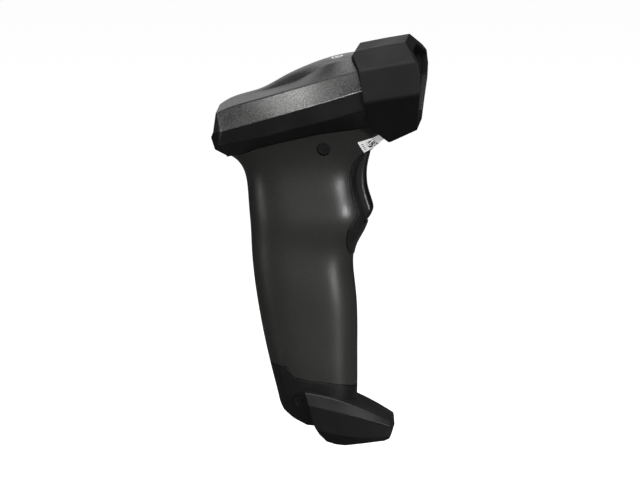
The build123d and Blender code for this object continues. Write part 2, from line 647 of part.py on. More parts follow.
def barrel(radius_and_length, bore_radius, centre):
    """A short tube closed at its foot, on the front of the engine block."""
    radius, length = radius_and_length
    tip = ENGINE_DEPTHS[1] + length
    tube = rods(NOSE_FACE, radius, ENGINE_DEPTHS[1], tip, (centre,))
    return tube - rods(NOSE_FACE, bore_radius, tip - 1, tip + 1, (centre,))


with BuildPart() as imaging_lens:
    add(barrel(LENS_BARREL, LENS_BORE_RADIUS, LENS_CENTRE))

with BuildPart() as aiming_module:
    add(barrel(AIMER_BARREL, AIMER_BORE_RADIUS, AIMER_CENTRE))

light_front = BRACKET_LENGTH[1] + BOARD_THICKNESS
led_centres = tuple((y, LIGHT_CENTRE[1]) for y in LIGHT_Y)

with BuildPart() as light_board:
    add(block(NOSE_FACE, LIGHT_BOARD_SIZE, BRACKET_LENGTH[1], light_front, LIGHT_CENTRE, 1))

with BuildPart() as light_leds:
    for centre in led_centres:
        add(block(NOSE_FACE, LED_SIZE, light_front, light_front + LED_HEIGHT, centre))

with BuildPart() as light_lens:
    add(block(NOSE_FACE, LIGHT_BOARD_SIZE, *LIGHT_LENS_HEIGHTS, LIGHT_CENTRE, 1))
    lens_rear, lens_front = LIGHT_LENS_HEIGHTS
    lens_feet = tuple((y, LIGHT_CENTRE[1]) for y in LIGHT_LENS_FEET_Y)
    add(rods(NOSE_FACE, LIGHT_LENS_DOME_RADIUS, lens_front, lens_front + 0.7, led_centres))
    add(rods(NOSE_FACE, 0.8, light_front, lens_rear, lens_feet))


# ---------------------------------------------------------------- main board

board_top = MAIN_BOARD_HEIGHTS[1]
board_bottom = MAIN_BOARD_HEIGHTS[0]

with BuildPart() as main_board:
    add(prism(DECK, MAIN_BOARD_OUTLINE, *MAIN_BOARD_HEIGHTS))
    add(rods(DECK, SCREW_RADIUS + SCREW_CLEARANCE, -2, 2, COVER_SCREW_CENTRES), mode=Mode.SUBTRACT)

with BuildPart() as processor_chips:
    for size, height, centre in CHIPS:
        add(block(DECK, size, board_top, board_top + height, centre))

with BuildPart() as radio_shield:
    shield_size, shield_height, shield_centre = RADIO_SHIELD
    add(block(DECK, shield_size, board_top, board_top + shield_height, shield_centre, 1))

with BuildPart() as beeper:
    beeper_top = board_top + BEEPER_HEIGHT
    add(rods(DECK, BEEPER_RADIUS, board_top, beeper_top, (BEEPER_CENTRE,)))
    add(rods(DECK, BEEPER_PORT_RADIUS, beeper_top - 1.2, beeper_top + 1, (BEEPER_CENTRE,)),
        mode=Mode.SUBTRACT)

with BuildPart() as status_leds:
    for size, height, centre in STATUS_LEDS:
        add(block(DECK, size, board_top, board_top + height, centre))

with BuildPart() as board_connectors:
    connector_size, connector_height, connector_centre = TOP_CONNECTOR
    add(block(DECK, connector_size, board_top, board_top + connector_height, connector_centre))
    for size, height, centre in LEAD_CONNECTORS:
        add(block(DECK, size, board_bottom - height, board_bottom, centre))

cable_start = DECK.from_local_coords((19, 0, board_top + 1.0))
cable_end = NOSE_FACE.from_local_coords((0, -1, ENGINE_DEPTHS[0] - SENSOR_SOCKET_DEPTH))

with BuildPart() as ribbon_cable:
    with BuildLine() as cable_path:
        Spline(cable_start, cable_end, tangents=(DECK.x_dir, NOSE.x_dir))
    with BuildSketch(Plane(origin=cable_start, x_dir=(0, 1, 0), z_dir=DECK.x_dir)):
        Rectangle(*RIBBON_SIZE)
    sweep(path=cable_path.line)


# ---------------------------------------------------------------- grip halves

def across(heights):
    """Heights over the XZ plane, whose normal is -Y, for a pair of Y positions."""
    return tuple(-y for y in reversed(heights))


saddles = Part() + [
    block(CELL, (19, 40), height, height + SADDLE_THICKNESS, (-2.5, 0)) for height in SADDLE_HEIGHTS
]
carrier_rib = block(CELL, (22, 40), *CARRIER_HEIGHTS, (-2, 0))
contact_rib = block(CELL, (14, 40), *CONTACT_RIB_HEIGHTS, (18, 0))
neck_web = block(NECK, (90, 60), *NECK_WEB_HEIGHTS)
grip_ribs = (saddles + carrier_rib + contact_rib + neck_web) & GRIP_MIDDLE
contact_block_hole = tuple(side + 2 * RUNNING_FIT for side in CONTACT_BLOCK_SIZE)
neck_hole = tuple(side + 2 * RUNNING_FIT for side in NECK_TUBE_SIZE)

with BuildPart() as grip_shell:
    add(GRIP_OUTER)
    add(GRIP_INNER, mode=Mode.SUBTRACT)
    add(grip_ribs)
    add(rods(CELL, CELL_RADIUS + CELL_CLEARANCE, -5, 68), mode=Mode.SUBTRACT)
    add(rods(CELL, CARRIER_RADIUS + RUNNING_FIT, 68, 73), mode=Mode.SUBTRACT)
    add(block(CELL, contact_block_hole, 0, 12, (CONTACT_X, 0)), mode=Mode.SUBTRACT)
    add(block(NECK, neck_hole, -5, 3, NECK_TUBE_CENTRE, 4), mode=Mode.SUBTRACT)
    add(side_prism(GRIP_SIDE_OUTLINE, FAR), mode=Mode.INTERSECT)
    add(side_prism(TRIGGER_OPENING, FAR), mode=Mode.SUBTRACT)
    add(side_prism(SLOT_OUTLINE, SLOT_HALF_WIDTH), mode=Mode.SUBTRACT)
    add(HEAD_CLEARANCE, mode=Mode.SUBTRACT)
    add(NOSE_CLEARANCE, mode=Mode.SUBTRACT)


def tongue(side):
    """The tongue of one grip half that reaches down into the bottom cap, on the +1 or -1 side."""
    upper = block(CELL, (7.5, 1.8), -4, 12, (0.15, side * 10.5))
    root = block(CELL, (7.5, 5), 4.5, 12, (0.15, side * 12.1))
    lower = block(CELL, (7.5, 2.5), -13.5, -0.5, (0.15, side * 9.75))
    cell_path = rods(CELL, CELL_RADIUS + CELL_CLEARANCE, -20, 20)
    return ((upper + lower) & grip_form(COVER_WALL + 2 * SHELL_FIT)) - cell_path + (root & GRIP_MIDDLE)


left_half = split(grip_shell.part, bisect_by=Plane.XZ.offset(-SNUG_FIT), keep=Keep.BOTTOM,
                  mode=Mode.PRIVATE)
right_half = split(grip_shell.part, bisect_by=Plane.XZ.offset(SNUG_FIT), keep=Keep.TOP, mode=Mode.PRIVATE)
left_screw_boss = rods(Plane.XZ, BOSS_RADIUS, -20, -SNUG_FIT, (GRIP_SCREW,)) & GRIP_MIDDLE
right_screw_boss = rods(Plane.XZ, GRIP_SCREW_RECESS_RADIUS + 1.1, SNUG_FIT, 20, (GRIP_SCREW,)) & GRIP_MIDDLE
board_boss_end = TRIGGER_BOARD_Y + BOARD_THICKNESS
board_bosses = rods(Plane.XZ, 2.6, -20, -board_boss_end, TRIGGER_BOARD_HOLES) & GRIP_MIDDLE
latch_point = CELL.from_local_coords((LATCH[0], 0, LATCH[1]))
latch_centre = (latch_point.X, latch_point.Z)

with BuildPart() as grip_left:
    add(left_half)
    add(left_screw_boss)
    add(board_bosses)
    add(tongue(+1))
    add(rods(Plane.XZ, GRIP_SCREW_RADIUS + PILOT_CLEARANCE, -11, 1, (GRIP_SCREW,)), mode=Mode.SUBTRACT)
    add(rods(Plane.XZ, SCREW_RADIUS + PILOT_CLEARANCE, -12.5, -5, TRIGGER_BOARD_HOLES), mode=Mode.SUBTRACT)

with BuildPart() as grip_right:
    add(right_half)
    add(right_screw_boss)
    add(tongue(-1))
    add(rods(Plane.XZ, GRIP_SCREW_RADIUS + SCREW_CLEARANCE, -1, 30, (GRIP_SCREW,)), mode=Mode.SUBTRACT)
    add(rods(Plane.XZ, GRIP_SCREW_RECESS_RADIUS, -GRIP_SCREW_SEAT_Y, 30, (GRIP_SCREW,)), mode=Mode.SUBTRACT)
    add(block(CELL, (NOTCH_WIDTH, 6), -20, LATCH[1] + NOTCH_WIDTH / 2, (LATCH[0], -10)), mode=Mode.SUBTRACT)

with BuildPart() as grip_screw:
    add(screw(point_plane(Plane.XZ, GRIP_SCREW, -GRIP_SCREW_SEAT_Y), 22, GRIP_SCREW_RADIUS,
              GRIP_SCREW_HEAD_RADIUS, 1.8))

with BuildPart() as label:
    add(grip_form(-LABEL_THICKNESS - LABEL_GAP))
    add(grip_form(-LABEL_GAP), mode=Mode.SUBTRACT)
    add(side_prism(LABEL_OUTLINE, FAR), mode=Mode.INTERSECT)
    add(HEAD_CLEARANCE, mode=Mode.SUBTRACT)
    add(NOSE_CLEARANCE, mode=Mode.SUBTRACT)


# ---------------------------------------------------------------- trigger and its surround

bezel_face = side_prism(TRIGGER_OPENING, FAR, 2 * SHELL_FIT) & grip_form(-BEZEL_PROUD)
bezel_flange = side_prism(TRIGGER_OPENING, FAR, -FLANGE_REACH) & grip_form(GRIP_WALL + 2 * SHELL_FIT)
cheek_ends = ((SLOT_HALF_WIDTH, PIN_HALF_LENGTH + 0.5), (-PIN_HALF_LENGTH - 0.5, -SLOT_HALF_WIDTH))
cheeks = Part() + [rods(Plane.XZ, CHEEK_RADIUS, *ends, (PIVOT,)) for ends in cheek_ends]
cheeks_inside = cheeks & grip_form(GRIP_WALL + 2 * SHELL_FIT)

with BuildPart() as trigger_bezel:
    add(bezel_face)
    add(bezel_flange)
    add(grip_form(BEZEL_DEPTH), mode=Mode.SUBTRACT)
    add(cheeks_inside)
    add(side_prism(SLOT_OUTLINE, SLOT_HALF_WIDTH), mode=Mode.SUBTRACT)
    add(rods(Plane.XZ, PIN_RADIUS + SNUG_FIT, -12, 12, (PIVOT,)), mode=Mode.SUBTRACT)
    add(HEAD_CLEARANCE, mode=Mode.SUBTRACT)
    add(NOSE_CLEARANCE, mode=Mode.SUBTRACT)

with BuildPart() as trigger_pin:
    add(rods(Plane.XZ, PIN_RADIUS, -PIN_HALF_LENGTH, PIN_HALF_LENGTH, (PIVOT,)))

with BuildPart() as trigger:
    with BuildSketch(Plane.XZ.offset(-TRIGGER_HALF_WIDTH)):
        with BuildLine():
            Spline(*TRIGGER_FRONT)
            Polyline(TRIGGER_FRONT[-1], *TRIGGER_REAR, TRIGGER_FRONT[0])
        make_face()
    extrude(amount=2 * TRIGGER_HALF_WIDTH)
    front_face = trigger.faces().sort_by(Axis.X)[-1]
    fillet(front_face.edges().filter_by(lambda edge: abs(edge.center().Y) > 1), TRIGGER_EDGE_RADIUS)
    with BuildSketch(Plane.XZ.offset(-TRIGGER_HALF_WIDTH)):
        with Locations(PIVOT):
            Circle(HUB_RADIUS)
    extrude(amount=2 * TRIGGER_HALF_WIDTH)
    add(rods(Plane.XZ, PIN_RADIUS + RUNNING_FIT, -12, 12, (PIVOT,)), mode=Mode.SUBTRACT)
    add(rods(Plane.XZ, HUB_RADIUS + 0.6, -SPRING_GAP_HALF_WIDTH, SPRING_GAP_HALF_WIDTH, (PIVOT,)),
        mode=Mode.SUBTRACT)

with BuildPart() as trigger_spring:
    add(coil(point_plane(Plane.XZ, PIVOT, -2.0), SPRING_RADIUS, SPRING_WIRE, 4.0, 5))

with BuildPart() as trigger_board:
    add(block(Plane.XZ, TRIGGER_BOARD_SIZE, *across((TRIGGER_BOARD_Y, board_boss_end)), TRIGGER_BOARD_CENTRE))
    add(rods(Plane.XZ, SCREW_RADIUS + SCREW_CLEARANCE, -8, 0, TRIGGER_BOARD_HOLES), mode=Mode.SUBTRACT)

with BuildPart() as trigger_board_screws:
    for centre in TRIGGER_BOARD_HOLES:
        add(screw(point_plane(Plane.XZ, centre, -TRIGGER_BOARD_Y), 7))

switch_centre = (SWITCH_FRONT - SWITCH_SIZE[0] / 2, SWITCH_HEIGHT)
plunger_centre = (SWITCH_CENTRE_Y, SWITCH_HEIGHT)

with BuildPart() as switch_body:
    add(block(Plane.XZ, SWITCH_SIZE[:2], *across((TRIGGER_BOARD_Y - SWITCH_SIZE[2], TRIGGER_BOARD_Y)),
              switch_centre))
    add(rods(Plane.YZ, PLUNGER_RADIUS + RUNNING_FIT, PLUNGER_TAIL - 1.5, SWITCH_FRONT + 1, (plunger_centre,)),
        mode=Mode.SUBTRACT)

with BuildPart() as switch_plunger:
    add(rods(Plane.YZ, PLUNGER_RADIUS, PLUNGER_TAIL, PLUNGER_TIP, (plunger_centre,)))


# ---------------------------------------------------------------- battery and upper contact

with BuildPart() as battery_cell:
    add(rods(CELL, CELL_RADIUS, 0, CELL_LENGTH))
    fillet(battery_cell.edges().filter_by(GeomType.CIRCLE), 0.8)
    add(rods(CELL, CELL_CAP_RADIUS, CELL_LENGTH - 1, CELL_LENGTH + CELL_CAP_HEIGHT))

with BuildPart() as cell_contact:
    add(rods(CELL, CONTACT_PLATE_RADIUS, *CONTACT_PLATE_HEIGHTS))

with BuildPart() as contact_carrier:
    add(rods(CELL, CARRIER_RADIUS, *CARRIER_HEIGHTS))
    add(rods(CELL, CARRIER_RIM_RADIUS, CARRIER_HEIGHTS[1], CARRIER_HEIGHTS[1] + CARRIER_RIM_HEIGHT))

contact_rows = tuple(CONTACT_PITCH * (index - (CONTACT_COUNT - 1) / 2) for index in range(CONTACT_COUNT))
contact_centres = tuple((CONTACT_X, y) for y in contact_rows)
block_foot, block_top = CONTACT_BLOCK_HEIGHTS
flange_foot = CONTACT_RIB_HEIGHTS[1]

with BuildPart() as contact_block:
    add(block(CELL, CONTACT_BLOCK_SIZE, block_foot, block_top, (CONTACT_X, 0)))
    add(block(CELL, CONTACT_FLANGE_SIZE, flange_foot, flange_foot + CONTACT_FLANGE_THICKNESS, (CONTACT_X, 0)))
    add(rods(CELL, CONTACT_PIN_RADIUS + SNUG_FIT, 0, block_foot + 4, contact_centres), mode=Mode.SUBTRACT)

with BuildPart() as contact_pins:
    add(rods(CELL, CONTACT_PIN_RADIUS, CONNECTOR_HEIGHTS[1] + RUNNING_FIT, block_foot + 4, contact_centres))

power_start = CELL.from_local_coords((CONTACT_X, -3, block_top + 0.3))
power_end = DECK.from_local_coords((1, -1, board_bottom - 3.5))
trigger_lead_end = DECK.from_local_coords((-6, 2, board_bottom - 3.4))

with BuildPart() as power_lead:
    add(lead((power_start, (6, -4, 60), (3, -5, 80), (-0.5, -6, 98), (-3.5, -6, 112), (-7.5, -5, 125),
              (-10, -2, 136), power_end), POWER_LEAD_RADIUS))

with BuildPart() as trigger_lead:
    add(lead(((0.5, 5.0, 122.3), (-3, 5.0, 128), (-11, 3.5, 136), trigger_lead_end), THIN_LEAD_RADIUS))


# ---------------------------------------------------------------- bottom cap

cap_cavity = cover_form(COVER_WALL, 6)
cell_seat = rods(CELL, CELL_SEAT_RADIUS, -30, CELL_SEAT_HEIGHT)
latch_post_size = (7, LATCH_POST_Y[1] - LATCH_POST_Y[0])
latch_post = block(CELL, latch_post_size, -30, CELL_SEAT_HEIGHT, (LATCH[0], sum(LATCH_POST_Y) / 2))
connector_shelf = block(CELL, (14, 40), *SHELF_HEIGHTS, (18, 0))
foot_screw_bosses = rods(Plane.XY, 2.8, 5, FOOT_SCREW_SEAT + FOOT_SCREW_LENGTH + 1, FOOT_SCREW_CENTRES)
cap_insides = (cell_seat + latch_post + connector_shelf + foot_screw_bosses) & COVER_MIDDLE
passage_centre = CELL.from_local_coords((CONTACT_X, 0, SHELF_HEIGHTS[0]))

with BuildPart() as battery_cover:
    add(cover_form())
    add(cap_cavity, mode=Mode.SUBTRACT)
    add(cap_insides)
    add(rods(Plane.XZ, SCREW_RADIUS + PILOT_CLEARANCE, 5, 30, (latch_centre,)), mode=Mode.SUBTRACT)
    add(rods(Plane.XZ, LATCH_HEAD_RADIUS + 0.25, -LATCH_SEAT_Y, 30, (latch_centre,)), mode=Mode.SUBTRACT)
    add(rods(Plane.XY, SCREW_RADIUS + PILOT_CLEARANCE, 5, FOOT_SCREW_SEAT + FOOT_SCREW_LENGTH + 0.3,
             FOOT_SCREW_CENTRES), mode=Mode.SUBTRACT)
    add(rods(Plane.XY, LEAD_PASSAGE_RADIUS, 5, 26, ((passage_centre.X, 0),)), mode=Mode.SUBTRACT)

with BuildPart() as latch_screw:
    add(screw(point_plane(Plane.XZ, latch_centre, -LATCH_SEAT_Y), 6.3, SCREW_RADIUS, LATCH_HEAD_RADIUS,
              LATCH_HEAD_HEIGHT))

with BuildPart() as cell_spring:
    add(coil(CELL.offset(CELL_SEAT_HEIGHT + CELL_SPRING_WIRE + RUNNING_FIT), CELL_SPRING_RADIUS,
             CELL_SPRING_WIRE, 5.4, 4))

connector_top = CONNECTOR_HEIGHTS[1]
pad_floor = connector_top - CONTACT_PAD_THICKNESS

with BuildPart() as foot_connector:
    add(block(CELL, CONTACT_BLOCK_SIZE, *CONNECTOR_HEIGHTS, (CONTACT_X, 0)))
    add(rods(CELL, CONTACT_PAD_RADIUS + SNUG_FIT, pad_floor, connector_top + 1, contact_centres),
        mode=Mode.SUBTRACT)

with BuildPart() as contact_pads:
    add(rods(CELL, CONTACT_PAD_RADIUS, pad_floor, connector_top, contact_centres))


# ---------------------------------------------------------------- foot

foot_posts = rods(Plane.XY, BOSS_RADIUS, -2, 16, FOOT_SCREW_CENTRES)
board_posts = rods(FOOT_SOLE, 1.5, -1, FOOT_BOARD_HEIGHT, ((3, 6), (3, -6)))
foot_insides = (foot_posts + board_posts) & FOOT_MIDDLE
pad_area = block(FOOT_SOLE, FOOT_PAD_SIZE, -3, FOOT_PAD_HEIGHT, FOOT_PAD_CENTRE, 3)
pad_pocket = block(FOOT_SOLE, tuple(side + 0.1 for side in FOOT_PAD_SIZE), -3, FOOT_PAD_HEIGHT + SNUG_FIT,
                   FOOT_PAD_CENTRE, 3)

with BuildPart() as foot_shell:
    add(foot_form())
    add(foot_form(WALL), mode=Mode.SUBTRACT)
    add(foot_insides)
    add(cover_form(-PARTING_GAP, 10), mode=Mode.SUBTRACT)
    add(rods(Plane.XY, SCREW_RADIUS + SCREW_CLEARANCE, -5, 20, FOOT_SCREW_CENTRES), mode=Mode.SUBTRACT)
    add(rods(Plane.XY, SCREW_HEAD_RADIUS, -5, FOOT_SCREW_SEAT, FOOT_SCREW_CENTRES), mode=Mode.SUBTRACT)
    add(rods(FOOT_SOLE, CHARGING_CONTACT_RADIUS + SNUG_FIT, -2, FOOT_BOARD_HEIGHT, CHARGING_CONTACT_CENTRES),
        mode=Mode.SUBTRACT)
    add(pad_pocket, mode=Mode.SUBTRACT)

with BuildPart() as foot_screws:
    for centre in FOOT_SCREW_CENTRES:
        add(screw(point_plane(Plane.XY, centre, FOOT_SCREW_SEAT, flip=True), FOOT_SCREW_LENGTH,
                  head_radius=2.0))

with BuildPart() as foot_pad:
    add(foot_form())
    add(pad_area, mode=Mode.INTERSECT)

with BuildPart() as foot_board:
    add(block(FOOT_SOLE, FOOT_BOARD_SIZE, FOOT_BOARD_HEIGHT, FOOT_BOARD_HEIGHT + BOARD_THICKNESS,
              FOOT_BOARD_CENTRE))

with BuildPart() as charging_contacts:
    add(rods(FOOT_SOLE, CHARGING_CONTACT_RADIUS, CHARGING_CONTACT_RECESS, FOOT_BOARD_HEIGHT,
             CHARGING_CONTACT_CENTRES))

foot_lead_start = CELL.from_local_coords((CONTACT_X, 0, CONNECTOR_HEIGHTS[0] - 0.1))
foot_lead_end = FOOT_SOLE.from_local_coords((3.2, 0, FOOT_BOARD_HEIGHT + BOARD_THICKNESS + 0.9))

with BuildPart() as foot_lead:
    add(lead((foot_lead_start, (passage_centre.X, 0, 18), (passage_centre.X + 0.3, 0, 12), foot_lead_end),
             THIN_LEAD_RADIUS))


# ---------------------------------------------------------------- export

PARTS = {
    "top_cover": top_cover,
    "indicator_lens": indicator_lens,
    "head_base": head_base,
    "cover_screws": cover_screws,
    "nose_boot": nose_boot,
    "nose_frame": nose_frame,
    "window_gasket": window_gasket,
    "scan_window": scan_window,
    "engine_bracket": engine_bracket,
    "bracket_screws": bracket_screws,
    "engine_block": engine_block,
    "engine_screws": engine_screws,
    "image_sensor_board": image_sensor_board,
    "imaging_lens": imaging_lens,
    "aiming_module": aiming_module,
    "light_board": light_board,
    "light_leds": light_leds,
    "light_lens": light_lens,
    "main_board": main_board,
    "processor_chips": processor_chips,
    "radio_shield": radio_shield,
    "beeper": beeper,
    "status_leds": status_leds,
    "board_connectors": board_connectors,
    "ribbon_cable": ribbon_cable,
    "grip_left": grip_left,
    "grip_right": grip_right,
    "grip_screw": grip_screw,
    "label": label,
    "trigger_bezel": trigger_bezel,
    "trigger_pin": trigger_pin,
    "trigger": trigger,
    "trigger_spring": trigger_spring,
    "trigger_board": trigger_board,
    "trigger_board_screws": trigger_board_screws,
    "switch_body": switch_body,
    "switch_plunger": switch_plunger,
    "battery_cell": battery_cell,
    "cell_contact": cell_contact,
    "contact_carrier": contact_carrier,
    "contact_block": contact_block,
    "contact_pins": contact_pins,
    "power_lead": power_lead,
    "trigger_lead": trigger_lead,
    "battery_cover": battery_cover,
    "latch_screw": latch_screw,
    "cell_spring": cell_spring,
    "foot_connector": foot_connector,
    "contact_pads": contact_pads,
    "foot_shell": foot_shell,
    "foot_screws": foot_screws,
    "foot_pad": foot_pad,
    "foot_board": foot_board,
    "charging_contacts": charging_contacts,
    "foot_lead": foot_lead,
}

for name, piece in PARTS.items():
    piece.part.label = name
    export_step(piece.part, f"parts/{name}.step")
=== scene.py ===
"""Looks of the handheld barcode scanner: materials, printed marks, light and camera.

Metres, in the CAD frame: +X forward out of the scan window, +Z up, +Y the scanner's own left.
"""

import json
import math

import bpy
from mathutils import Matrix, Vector


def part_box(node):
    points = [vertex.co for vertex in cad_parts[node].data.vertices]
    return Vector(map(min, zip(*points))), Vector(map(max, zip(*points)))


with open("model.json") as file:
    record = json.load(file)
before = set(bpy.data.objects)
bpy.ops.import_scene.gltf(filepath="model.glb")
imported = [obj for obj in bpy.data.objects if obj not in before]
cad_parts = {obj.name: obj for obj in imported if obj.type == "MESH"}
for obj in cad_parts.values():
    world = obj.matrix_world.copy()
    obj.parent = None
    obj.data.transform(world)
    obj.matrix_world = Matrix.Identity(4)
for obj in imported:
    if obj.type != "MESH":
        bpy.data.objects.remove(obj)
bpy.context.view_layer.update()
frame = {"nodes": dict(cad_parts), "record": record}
NODES = frame["nodes"]
MM = 0.001


# ---------------------------------------------------------------- stage

FLOOR_HALF = 6.0
FLOOR_HEIGHT = -0.125   # the scanner hangs over the paper, and its bottom cap has room to slide out
CAMERA_AZIMUTH = math.radians(4.2)
CAMERA_ELEVATION = math.radians(8.6)
CAMERA_DISTANCE = 2.2
CAMERA_SENSOR = 36
VIEW_WIDTH = 0.288
CAMERA_TARGET = Vector((0.0009, 0.0, 0.0915))
PAPER_GLOW = 0.96       # how bright the paper looks by itself, so that it stays pale around the scanner
PAPER_SEEN = 0.5        # reflectance of the paper seen directly
PAPER_BOUNCE = 0.09     # reflectance that lights the scanner from below
STUDIO_FLOOR = 0.06     # brightness of the studio below the horizon
STUDIO_CEILING = 0.12   # brightness straight overhead
# name, direction from the scanner, distance, width and height, watts
LIGHTS = (
    ("key", (-0.43, -0.72, 0.55), 1.1, (0.28, 0.28), 2.9),
    ("overhead", (0.25, -0.35, 1.0), 1.2, (0.7, 0.8), 20.0),
    ("crown", (-0.05, 0.54, 0.83), 1.3, (0.7, 0.7), 1.8),
    ("camera_side", (0.1, -1.0, -0.12), 1.5, (1.6, 1.1), 3.9),
    ("front_fill", (1.0, -0.75, 0.1), 1.4, (0.5, 1.0), 2.4),
    ("accent", (0.72, -0.66, 0.1), 1.3, (0.08, 0.14), 6.0),
    ("left_edge", (-1.0, -0.35, 0.0), 1.4, (0.4, 1.0), 4.0),
    ("rear_fill", (-0.3, 1.0, 0.35), 1.3, (0.8, 0.8), 1.0),
)


def camera_ray(tree):
    """1 where the camera looks straight at a surface, 0 in reflections and bounced light."""
    return tree.nodes.new("ShaderNodeLightPath").outputs["Is Camera Ray"]


def paper_material():
    """White paper that hardly lights the scanner from below."""
    material = bpy.data.materials.new("floor_paper")
    material.use_nodes = True
    tree = material.node_tree
    shader = tree.nodes["Principled BSDF"]
    shader.inputs["Roughness"].default_value = 0.9
    shader.inputs["Specular IOR Level"].default_value = 0.0
    shader.inputs["Emission Color"].default_value = (1, 1, 1, 1)
    ray = camera_ray(tree)
    reflectance = tree.nodes.new("ShaderNodeMix")
    reflectance.data_type = "RGBA"
    reflectance.inputs["A"].default_value = (PAPER_BOUNCE,) * 3 + (1,)
    reflectance.inputs["B"].default_value = (PAPER_SEEN,) * 3 + (1,)
    tree.links.new(ray, reflectance.inputs["Factor"])
    tree.links.new(reflectance.outputs["Result"], shader.inputs["Base Color"])
    glow = tree.nodes.new("ShaderNodeMath")
    glow.operation = "MULTIPLY"
    glow.inputs[1].default_value = PAPER_GLOW
    tree.links.new(ray, glow.inputs[0])
    tree.links.new(glow.outputs["Value"], shader.inputs["Emission Strength"])
    return material


def make_floor():
    """A plain white floor."""
    mesh = bpy.data.meshes.new("floor")
    corners = ((-FLOOR_HALF, -FLOOR_HALF), (FLOOR_HALF, -FLOOR_HALF),
               (FLOOR_HALF, FLOOR_HALF), (-FLOOR_HALF, FLOOR_HALF))
    mesh.from_pydata([(x, y, FLOOR_HEIGHT) for x, y in corners], [], [(0, 1, 2, 3)])
    mesh.materials.append(paper_material())
    floor = bpy.data.objects.new("floor", mesh)
    bpy.context.scene.collection.objects.link(floor)


def softbox(name, direction, distance, size, power):
    """A rectangular soft light that stands in a direction from the scanner and faces it."""
    data = bpy.data.lights.new(name, "AREA")
    data.shape = "RECTANGLE"
    data.size, data.size_y = size
    data.energy = power
    light = bpy.data.objects.new(name, data)
    towards = Vector(direction).normalized()
    light.location = CAMERA_TARGET + towards * distance
    light.rotation_euler = (-towards).to_track_quat("-Z", "Y").to_euler()
    bpy.context.scene.collection.objects.link(light)


def make_camera():
    """The photograph's view: nearly side-on, a little from the front and from above."""
    data = bpy.data.cameras.new("camera")
    data.lens = CAMERA_SENSOR * CAMERA_DISTANCE / VIEW_WIDTH
    data.sensor_width = CAMERA_SENSOR
    camera = bpy.data.objects.new("camera", data)
    back = Vector((
        math.sin(CAMERA_AZIMUTH) * math.cos(CAMERA_ELEVATION),
        -math.cos(CAMERA_AZIMUTH) * math.cos(CAMERA_ELEVATION),
        math.sin(CAMERA_ELEVATION),
    ))
    camera.location = CAMERA_TARGET + back * CAMERA_DISTANCE
    camera.rotation_mode = "QUATERNION"
    camera.rotation_quaternion = (-back).to_track_quat("-Z", "Y")
    bpy.context.scene.collection.objects.link(camera)
    bpy.context.scene.camera = camera


def make_world():
    """White behind the scanner, and a dim studio around it, brighter overhead."""
    world = bpy.data.worlds.new("studio")
    world.use_nodes = True
    bpy.context.scene.world = world
    tree = world.node_tree
    dim = tree.nodes["Background"]
    direction = tree.nodes.new("ShaderNodeTexCoord").outputs["Generated"]
    split = tree.nodes.new("ShaderNodeSeparateXYZ")
    tree.links.new(direction, split.inputs["Vector"])
    height = tree.nodes.new("ShaderNodeMapRange")
    height.interpolation_type = "SMOOTHSTEP"
    height.inputs["From Min"].default_value = -0.3
    height.inputs["From Max"].default_value = 1.0
    height.inputs["To Min"].default_value = STUDIO_FLOOR
    height.inputs["To Max"].default_value = STUDIO_CEILING
    tree.links.new(split.outputs["Z"], height.inputs["Value"])
    tree.links.new(height.outputs["Result"], dim.inputs["Strength"])
    white = tree.nodes.new("ShaderNodeBackground")
    white.inputs["Color"].default_value = (1, 1, 1, 1)
    mix = tree.nodes.new("ShaderNodeMixShader")
    tree.links.new(camera_ray(tree), mix.inputs["Fac"])
    tree.links.new(dim.outputs["Background"], mix.inputs[1])
    tree.links.new(white.outputs["Background"], mix.inputs[2])
    tree.links.new(mix.outputs["Shader"], tree.nodes["World Output"].inputs["Surface"])


bpy.context.scene.view_settings.view_transform = "Standard"
make_floor()
make_camera()
make_world()
for light in LIGHTS:
    softbox(*light)


# ---------------------------------------------------------------- material helpers

